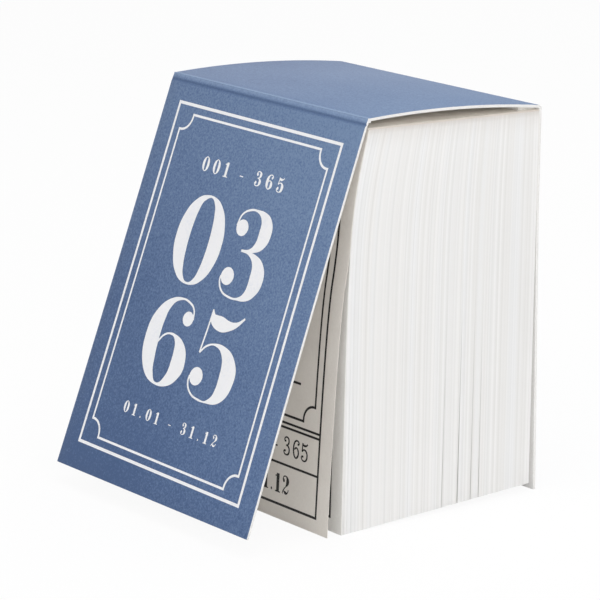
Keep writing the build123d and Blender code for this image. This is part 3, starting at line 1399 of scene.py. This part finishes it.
@dataclass
class Leaf:
    """One of the leaves at the front of the block, bent forward below its gummed head."""

    number: int
    head: tuple[float, float]
    width: float
    foot: float = 0.0
    thickness: float = 0.1 * MM
    next_head: float = 0.121 * MM
    bulge: float = 4.05 * MM
    bulge_drop: float = 14.2 * MM
    parted: float = 0.7 * MM
    parting_drop: float = 24.0 * MM
    stand_off: float = 0.0
    stand_off_drop: float = 21.5 * MM
    stand_off_curve: float = 0.55
    stiffness: float = 3.5 * MM
    stiff_steps: int = 4
    stations: int = 0
    station_growth: float = 1.8
    probe: float = 0.4 * MM
    rows: int = 90
    year_days: int = 365

    def swept(self, drop: float) -> float:
        """How far the leaf has swept away from the block, rounded off as stiff paper bends.

        Args:
            drop: Height below the head.

        Returns:
            The distance.
        """
        total = 0.0
        offsets = range(-self.stiff_steps, self.stiff_steps + 1)
        for offset in offsets:
            spot = drop + self.stiffness * offset / self.stiff_steps - self.stand_off_drop
            share = min(1.0, max(0.0, spot) / (self.head[1] - self.stand_off_drop))
            total += self.stand_off * share**self.stand_off_curve
        return total / len(offsets)

    def spread(self, drop: float) -> float:
        """How far the leaf's face is in front of its head.

        Args:
            drop: Height below the head.

        Returns:
            The distance.
        """
        below = max(0.0, drop - self.parting_drop) / (self.head[1] - self.parting_drop)
        fan = self.bulge * (self.year_days - self.number) / self.year_days
        return fan * math.tanh(drop / self.bulge_drop) + self.parted * below + self.swept(drop)

    def forward(self, drop: float) -> float:
        """The same, along straight stretches where the leaf is made of them.

        Args:
            drop: Height below the head.

        Returns:
            The distance.
        """
        if not self.stations:
            return self.spread(drop)
        total = self.head[1] - self.foot
        shares = [index / self.stations for index in range(self.stations + 1)]
        cuts = [total * share**self.station_growth for share in shares]
        held = min(max(drop, 0.0), total)
        upper = max(cut for cut in cuts[:-1] if cut <= held)
        lower = cuts[cuts.index(upper) + 1]
        share = (held - upper) / (lower - upper)
        return self.spread(upper) * (1 - share) + self.spread(lower) * share

    def on_face(self, across: float, drop: float, height: float) -> Vector:
        """A point on the leaf's printed face.

        Args:
            across: Distance from the middle, to the right.
            drop: Height below the head.
            height: Distance in front of the face.

        Returns:
            The point.
        """
        ahead, before = self.forward(drop + self.probe), self.forward(drop - self.probe)
        slope = (ahead - before) / (2 * self.probe)
        normal = Vector((0.0, -1.0, slope)).normalized()
        point = Vector((across, self.head[0] - self.forward(drop), self.head[1] - drop))
        return point + normal * height

    def sheet(self, bench: Bench, node: str, finish: bpy.types.Material) -> bpy.types.Object:
        """Makes the leaf as a smooth sheet.

        Args:
            bench: The modelling steps.
            node: The leaf's node and body.
            finish: The paper.

        Returns:
            The leaf.
        """
        total = self.head[1] - self.foot
        drops = [total * row / self.rows for row in range(self.rows + 1)]
        points = [self.on_face(0.0, drop, 0.0) for drop in drops]
        piece = bench.sweep(f"{node}_sheet", self.width, [(p.y, p.z) for p in points])
        bench.face(piece, lambda _: Vector((0.0, -1.0, 0.0)))
        bench.dress(piece, finish, finish, finish)
        bench.thicken(piece, self.thickness, 0.0)
        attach(piece, node)
        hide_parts(node)
        return piece

    def title_printing(self, ink: bpy.types.Material) -> bpy.types.Object:
        """Makes the title leaf's print: a notched panel over two ruled rows of plain numerals.

        Args:
            ink: The black ink.

        Returns:
            The print.
        """
        sheet = Print("title_leaf_print", lift=0.018 * MM)
        sheet.frame(23.4 * MM, 3.0 * MM, 65.02 * MM, 0.45 * MM)
        sheet.notched_frame(21.75 * MM, 4.7 * MM, 49.48 * MM, 2.6 * MM, 0.42 * MM)
        for level in (50.8, 51.6, 57.95):
            sheet.rule((-23.4 * MM, level * MM), (23.4 * MM, level * MM), 0.4 * MM)
        sheet.numerals("365", (0.0, 24.0 * MM), 15.0 * MM, Weight.FAT)
        sheet.numerals("1 - 12", (0.0, 43.45 * MM), 3.2 * MM, Weight.TEXT, 0.85)
        for side in (-1, 1):
            sheet.rule((side * 12.0 * MM, 43.45 * MM), (side * 17.6 * MM, 43.45 * MM), 0.42 * MM)
        sheet.numerals("001 - 365", (12.0 * MM, 54.65 * MM), 3.1 * MM, Weight.LIGHT, 0.78, 17.4 * MM)
        sheet.numerals("01.01 - 31.12", (4.0 * MM, 61.4 * MM), 3.2 * MM, Weight.TEXT, 0.74, 24.0 * MM)
        piece = sheet.build(self.on_face, ink)
        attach(piece, "title_leaf")
        return piece

    def day_printing(self, name: str, ink: bpy.types.Material, body: str) -> bpy.types.Object:
        """Makes a day leaf's print: a ruled border, the day's numeral and its place in the year.

        Args:
            name: The print's name.
            ink: The black ink.
            body: The body that the leaf belongs to.

        Returns:
            The print.
        """
        sheet = Print(name, lift=0.008 * MM, relief=0.003)
        sheet.frame(23.5 * MM, 3.0 * MM, 65.2 * MM, 0.45 * MM)
        sheet.rule((-23.5 * MM, 51.4 * MM), (23.5 * MM, 51.4 * MM), 0.4 * MM)
        sheet.numerals(f"{self.number}", (0.0, 26.0 * MM), 26.0 * MM, Weight.FAT)
        sheet.numerals(f"{self.number:03d} - {self.year_days}", (0.0, 58.4 * MM), 4.0 * MM, Weight.TEXT, 0.8)
        piece = sheet.build(self.on_face, ink)
        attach(piece, body)
        return piece


@dataclass
class SpineGlue:
    """The film that holds the rear of the spine to the block's head; it stops short of the cut sides."""

    low: Vector
    high: Vector
    inset: float = 0.9 * MM
    rounding: float = 0.015 * MM
    cuts: int = 5
    pinch: float = 0.35
    wave: float = 0.25 * MM
    wave_turns: float = 9.0
    wave_reach: float = 1.0 * MM

    def build(
        self, bench: Bench, roof: Callable[[float], float], finish: bpy.types.Material
    ) -> bpy.types.Object:
        """Makes the film.

        Args:
            bench: The modelling steps.
            roof: Gives the height of the spine's underside at a depth.
            finish: The glue.

        Returns:
            The film.
        """
        bench.clear_selection()
        size = (self.high - self.low) - Vector((2 * self.inset, 0.0, 0.0))
        bpy.ops.mesh.primitive_cube_add(size=1.0, location=(self.low + self.high) / 2)
        piece = bpy.context.view_layer.objects.active
        piece.name = piece.data.name = "spine_glue_film"
        piece.scale = size
        bpy.ops.object.transform_apply(location=True, rotation=True, scale=True)
        bench.edit(piece, bpy.ops.mesh.subdivide, number_cuts=self.cuts)
        for vertex in piece.data.vertices:
            share = (vertex.co.z - self.low.z) / (self.high.z - self.low.z)
            across = vertex.co.x / (self.high.x - self.inset)
            if vertex.co.y < self.low.y + self.wave_reach:
                held = 1.0 - self.pinch * (4 * share * (1 - share))
                vertex.co.y += self.wave * math.sin(self.wave_turns * across) * held
            vertex.co.z = self.low.z + share * (roof(vertex.co.y) - self.low.z)
        bench.ease(piece, self.rounding, 30.0)
        bench.edit(piece, bpy.ops.mesh.normals_make_consistent, inside=False)
        bpy.ops.object.shade_smooth_by_angle(angle=SOLID_CREASE)
        bench.dress(piece, finish)
        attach(piece, "block")
        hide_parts("spine_glue")
        return piece


@dataclass
class Block:
    """The gummed block of day leaves, with its gum and glue."""

    nodes: dict[str, bpy.types.Object]

    def dress(
        self, paper: bpy.types.Material, gum: bpy.types.Material, glue: bpy.types.Material
    ) -> list[str]:
        """Gives the block's own pieces their finishes.

        Args:
            paper: For every leaf.
            gum: For the film over the heads.
            glue: For what holds the cover.

        Returns:
            The names of the pieces.
        """
        finishes = {f"{month}_leaves": paper for month in MONTHS}
        finishes |= {"head_gum": gum, "back_glue": glue}
        for name, finish in finishes.items():
            Bench.dress(self.nodes[name], finish)
        return list(finishes)


@dataclass
class Studio:
    """Camera, lamps and floor."""

    position: tuple[float, float, float] = (411.658 * MM, -323.775 * MM, 163.826 * MM)
    azimuth: float = 51.793
    elevation: float = 14.015
    roll: float = 0.57
    lens: float = 188.88
    sensor: float = 36.0
    ambient: float = 0.36
    floor_side: float = 6.0
    aim: tuple[float, float, float] = (0.0, 0.0, 0.03)
    rig: tuple[tuple[str, tuple[float, float, float], float, float], ...] = (
        ("key", (0.74, -0.34, 0.25), 0.48, 2.25),
        ("top", (0.1, 0.12, 0.8), 0.7, 3.62),
        ("fill", (0.1, -0.75, 0.5), 0.6, 1.0),
        ("rim", (-0.68, 0.6, 0.42), 0.9, 0.7),
    )

    def camera(self) -> None:
        """Sets the camera up at the photograph's viewing angle."""
        turn, tilt = math.radians(self.azimuth), math.radians(self.elevation)
        ahead = Vector((-math.sin(turn) * math.cos(tilt), math.cos(turn) * math.cos(tilt), -math.sin(tilt)))
        lens = bpy.data.cameras.new("camera")
        lens.sensor_width = self.sensor
        lens.lens = self.lens
        lens.clip_start = 0.01
        camera = bpy.data.objects.new("camera", lens)
        camera.location = self.position
        level = ahead.to_track_quat("-Z", "Y")
        camera.rotation_mode = "QUATERNION"
        camera.rotation_quaternion = level @ Quaternion((0.0, 0.0, 1.0), math.radians(self.roll))
        bpy.context.scene.collection.objects.link(camera)
        bpy.context.scene.camera = camera

    def lamps(self) -> None:
        """Hangs soft square lamps: a low key at the right, a top, a weak front fill and a rim behind."""
        for name, place, side, watts in self.rig:
            light = bpy.data.lights.new(name, "AREA")
            light.size = side
            light.energy = watts
            lamp = bpy.data.objects.new(name, light)
            lamp.location = place
            lamp.rotation_mode = "QUATERNION"
            lamp.rotation_quaternion = (Vector(self.aim) - Vector(place)).to_track_quat("-Z", "Y")
            bpy.context.scene.collection.objects.link(lamp)

    def world(self) -> None:
        """Makes an even pale surround, white on camera."""
        graph = Graph(bpy.data.worlds.new("surround"))
        colour = (1.0, 1.0, 1.0, 1.0)
        soft = graph.node("ShaderNodeBackground", {}, {"Color": colour, "Strength": self.ambient})
        white = graph.node("ShaderNodeBackground", {}, {"Color": colour, "Strength": 1.0})
        mixed = graph.node("ShaderNodeMixShader", {}, {0: graph.backdrop(), 1: soft, 2: white})
        graph.node("ShaderNodeOutputWorld", {}, {"Surface": mixed})
        bpy.context.scene.world = graph.owner

    def floor(self, bench: Bench) -> None:
        """Lays the floor.

        Args:
            bench: The modelling steps.
        """
        bench.clear_selection()
        bpy.ops.mesh.primitive_plane_add(size=self.floor_side, location=(0.0, 0.0, 0.0))
        floor = bpy.context.view_layer.objects.active
        floor.name = floor.data.name = "studio_floor"
        bench.dress(floor, StudioFloor().build())


def main() -> None:
    """Builds the calendar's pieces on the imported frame, then the studio."""
    logging.basicConfig(level=logging.INFO, format="%(name)s: %(message)s")
    for item in list(bpy.data.objects):
        bpy.data.objects.remove(item, do_unlink=True)
    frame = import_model()
    bench = Bench()
    joints = {joint["name"]: joint for joint in frame["joints"]}
    fold = tuple(joints["front_cover_fold"]["pos_m"][1:])
    low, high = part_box("back_cover")
    cover = CardCover(fold=fold, rear=(high.y - CardCover.flare, high.z), width=high.x - low.x)
    half = cover.width / 2

    score = tuple(cover.score().yz)
    blue = PrintedCard(fold=fold, score=score, half_width=half, height=fold[1]).build()
    board = BareCard().build()
    for piece in (
        cover.front(bench, [blue, board, board]),
        cover.rear_card(bench, [blue, board, board]),
        cover.crease(bench, blue, board),
    ):
        LOG.info("card piece %s: %d faces", piece.name, len(piece.data.polygons))
    white_ink = PrintInk("white_ink", linear(250, 250, 252), linear(240, 242, 248)).build()
    LOG.info("print %s", cover.printing(white_ink).name)

    black_ink = PrintInk("black_ink", linear(34, 31, 31), linear(52, 49, 48)).build()
    title_low, title_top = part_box("title_leaf")
    title = Leaf(
        number=0,
        head=(title_top.y - Leaf.thickness, title_top.z),
        width=cover.width,
        foot=title_low.z,
        stand_off=2.9 * MM,
    )
    # The title leaf's paper is greyer than the day leaf's: painted shade for the cover's shadow on white
    # paper.
    title_paper = LoosePaper("title_paper", linear(229, 224, 217), linear(219, 213, 206)).build()
    LOG.info("leaf %s", title.sheet(bench, "title_leaf", title_paper).name)
    LOG.info("print %s", title.title_printing(black_ink).name)
    day_low, day_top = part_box("first_day_leaf")
    day_head = (day_top.y - Leaf.thickness, day_top.z)
    day = Leaf(number=1, head=day_head, width=cover.width, foot=day_low.z)
    LOG.info("leaf %s", day.sheet(bench, "first_day_leaf", LoosePaper().build()).name)
    LOG.info("print %s", day.day_printing("first_day_leaf_print", black_ink, "first_day_leaf").name)
    next_low, next_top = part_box("january_leaves")
    next_head = (day.head[0] + day.next_head, next_top.z)
    following = Leaf(number=2, head=next_head, width=cover.width, foot=next_low.z, stations=10)
    LOG.info("print %s", following.day_printing("second_day_leaf_print", black_ink, "block").name)

    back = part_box("back_glue")[0].y
    paper = LeafPaper(back=back, head=day_top.z).build()
    # The gum's third tone, on its cut sides, is darker: painted shade under the spine's edge.
    gum_tones = linear(252, 246, 237), linear(246, 238, 227), linear(214, 205, 196)
    gum = SetGlue("padding_gum", *gum_tones, half).build()
    glue_tones = linear(238, 237, 234), linear(222, 219, 213), linear(232, 230, 226)
    glue = SetGlue("white_glue", *glue_tones, half).build()
    LOG.info("dressed %s", ", ".join(Block(frame["nodes"]).dress(paper, gum, glue)))
    film = SpineGlue(*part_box("spine_glue"))
    LOG.info("glue %s", film.build(bench, cover.roof, glue).name)

    studio = Studio()
    studio.camera()
    studio.lamps()
    studio.world()
    studio.floor(bench)
    bpy.context.scene.view_settings.view_transform = "Standard"


if __name__ == "__main__":
    main()
